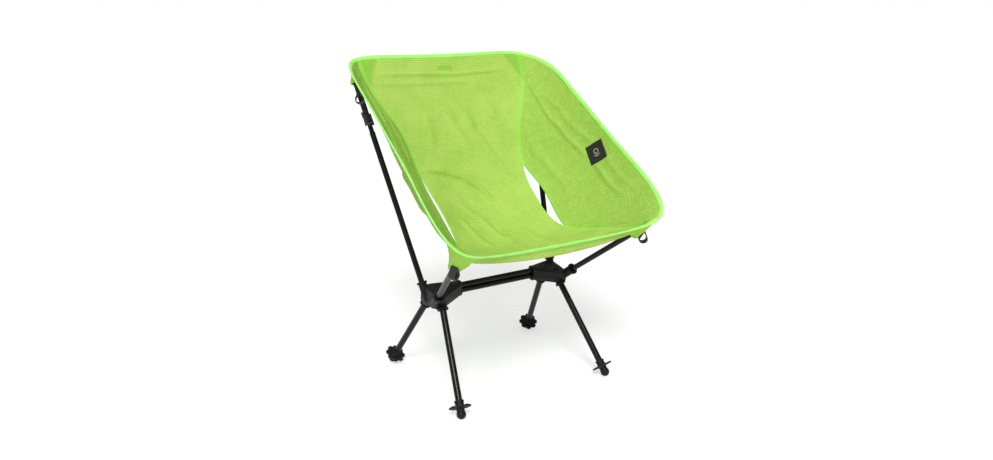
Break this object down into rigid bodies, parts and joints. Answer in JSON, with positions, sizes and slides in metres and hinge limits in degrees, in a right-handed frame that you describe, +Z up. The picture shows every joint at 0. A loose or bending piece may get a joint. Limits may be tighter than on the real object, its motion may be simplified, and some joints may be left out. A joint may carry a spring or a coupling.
{
  "type": "ultralight backpacking chair",
  "caption": "Low packable camping chair: mesh bucket sling on slanted poles that plug into moulded hubs joined by a twin crossbar, on splayed legs with petal feet.",
  "frame": {"origin": "on the floor, under the middle of the chair", "axes": "+Z up, the sitter looks along -Y, +X is the sitter's left"},
  "size_m": [0.5052, 0.4834, 0.6632],
  "materials": {
    "hub_plastic": "moulded nylon, fine grain",
    "frame_tube": "anodised aluminium tube, satin",
    "shock_cord": "braided elastic cord",
    "foot_rubber": "soft moulded rubber",
    "cap_plastic": "moulded",
    "mesh_fabric": "open dot mesh",
    "edge_binding": "folded woven tape",
    "reinforcing_fabric": "plain weave",
    "webbing": "ribbed webbing",
    "label_fabric": "woven label"
  },
  "bodies": {
    "root": {"hub_left": "hub_plastic", "hub_right": "hub_plastic", "crossbar_upper_tube": "frame_tube", "crossbar_lower_tube": "frame_tube", "centre_panel": "mesh_fabric", "side_panel_left": "mesh_fabric", "side_panel_right": "mesh_fabric", "binding_top": "edge_binding", "binding_front": "edge_binding", "binding_left": "edge_binding", "binding_right": "edge_binding", "side_label": "label_fabric", "top_label": "label_fabric"},
    "leg_front_left": {"front_leg_left": "frame_tube", "front_foot_left": "foot_rubber", "front_leg_left_cord": "shock_cord"},
    "leg_rear_left": {"rear_leg_left": "frame_tube", "rear_foot_left": "foot_rubber", "rear_leg_left_cord": "shock_cord"},
    "pole_front_left": {"front_pole_left": "frame_tube", "front_pole_left_cap": "cap_plastic", "front_pole_left_cord": "shock_cord", "corner_pocket_front_left": "reinforcing_fabric", "corner_patch_front_left": "reinforcing_fabric", "binding_corner_front_left": "edge_binding", "pull_loop_front_left": "webbing"},
    "pole_rear_left": {"rear_pole_lower_left": "frame_tube", "rear_pole_left_cord": "shock_cord"},
    "tip_rear_left": {"rear_pole_upper_left": "frame_tube", "rear_pole_left_cap": "cap_plastic", "rear_keeper_left": "webbing", "corner_pocket_rear_left": "reinforcing_fabric", "corner_patch_rear_left": "reinforcing_fabric", "binding_corner_rear_left": "edge_binding", "pull_loop_rear_left": "webbing"},
    "leg_front_right": {"front_leg_right": "frame_tube", "front_foot_right": "foot_rubber", "front_leg_right_cord": "shock_cord"},
    "leg_rear_right": {"rear_leg_right": "frame_tube", "rear_foot_right": "foot_rubber", "rear_leg_right_cord": "shock_cord"},
    "pole_front_right": {"front_pole_right": "frame_tube", "front_pole_right_cap": "cap_plastic", "front_pole_right_cord": "shock_cord", "corner_pocket_front_right": "reinforcing_fabric", "corner_patch_front_right": "reinforcing_fabric", "binding_corner_front_right": "edge_binding", "pull_loop_front_right": "webbing"},
    "pole_rear_right": {"rear_pole_lower_right": "frame_tube", "rear_pole_right_cord": "shock_cord"},
    "tip_rear_right": {"rear_pole_upper_right": "frame_tube", "rear_pole_right_cap": "cap_plastic", "rear_keeper_right": "webbing", "corner_pocket_rear_right": "reinforcing_fabric", "corner_patch_rear_right": "reinforcing_fabric", "binding_corner_rear_right": "edge_binding", "pull_loop_rear_right": "webbing"}
  },
  "joints": [
    {"name": "leg_front_left_slide", "type": "slide", "parent": "root", "child": "leg_front_left", "axis": [-0.1419, -0.5932, -0.7924], "range_m": [0, 0.026], "stiffness_N_per_m": 150, "springref_m": -0.05},
    {"name": "leg_rear_left_slide", "type": "slide", "parent": "root", "child": "leg_rear_left", "axis": [-0.177, 0.5406, -0.8225], "range_m": [0, 0.026], "stiffness_N_per_m": 150, "springref_m": -0.05},
    {"name": "pole_front_left_slide", "type": "slide", "parent": "root", "child": "pole_front_left", "axis": [-0.2153, -0.7761, 0.5928], "range_m": [0, 0.012], "stiffness_N_per_m": 400, "springref_m": -0.02},
    {"name": "pole_rear_left_slide", "type": "slide", "parent": "root", "child": "pole_rear_left", "axis": [-0.1279, 0.3931, 0.9105], "range_m": [0, 0.012], "stiffness_N_per_m": 400, "springref_m": -0.02},
    {"name": "tip_rear_left_slide", "type": "slide", "parent": "pole_rear_left", "child": "tip_rear_left", "axis": [-0.1279, 0.3931, 0.9105], "range_m": [0, 0.012], "stiffness_N_per_m": 400, "springref_m": -0.02},
    {"name": "leg_front_right_slide", "type": "slide", "parent": "root", "child": "leg_front_right", "axis": [0.1419, -0.5932, -0.7924], "range_m": [0, 0.026], "stiffness_N_per_m": 150, "springref_m": -0.05},
    {"name": "leg_rear_right_slide", "type": "slide", "parent": "root", "child": "leg_rear_right", "axis": [0.177, 0.5406, -0.8225], "range_m": [0, 0.026], "stiffness_N_per_m": 150, "springref_m": -0.05},
    {"name": "pole_front_right_slide", "type": "slide", "parent": "root", "child": "pole_front_right", "axis": [0.2153, -0.7761, 0.5928], "range_m": [0, 0.012], "stiffness_N_per_m": 400, "springref_m": -0.02},
    {"name": "pole_rear_right_slide", "type": "slide", "parent": "root", "child": "pole_rear_right", "axis": [0.1279, 0.3931, 0.9105], "range_m": [0, 0.012], "stiffness_N_per_m": 400, "springref_m": -0.02},
    {"name": "tip_rear_right_slide", "type": "slide", "parent": "pole_rear_right", "child": "tip_rear_right", "axis": [0.1279, 0.3931, 0.9105], "range_m": [0, 0.012], "stiffness_N_per_m": 400, "springref_m": -0.02}
  ]
}
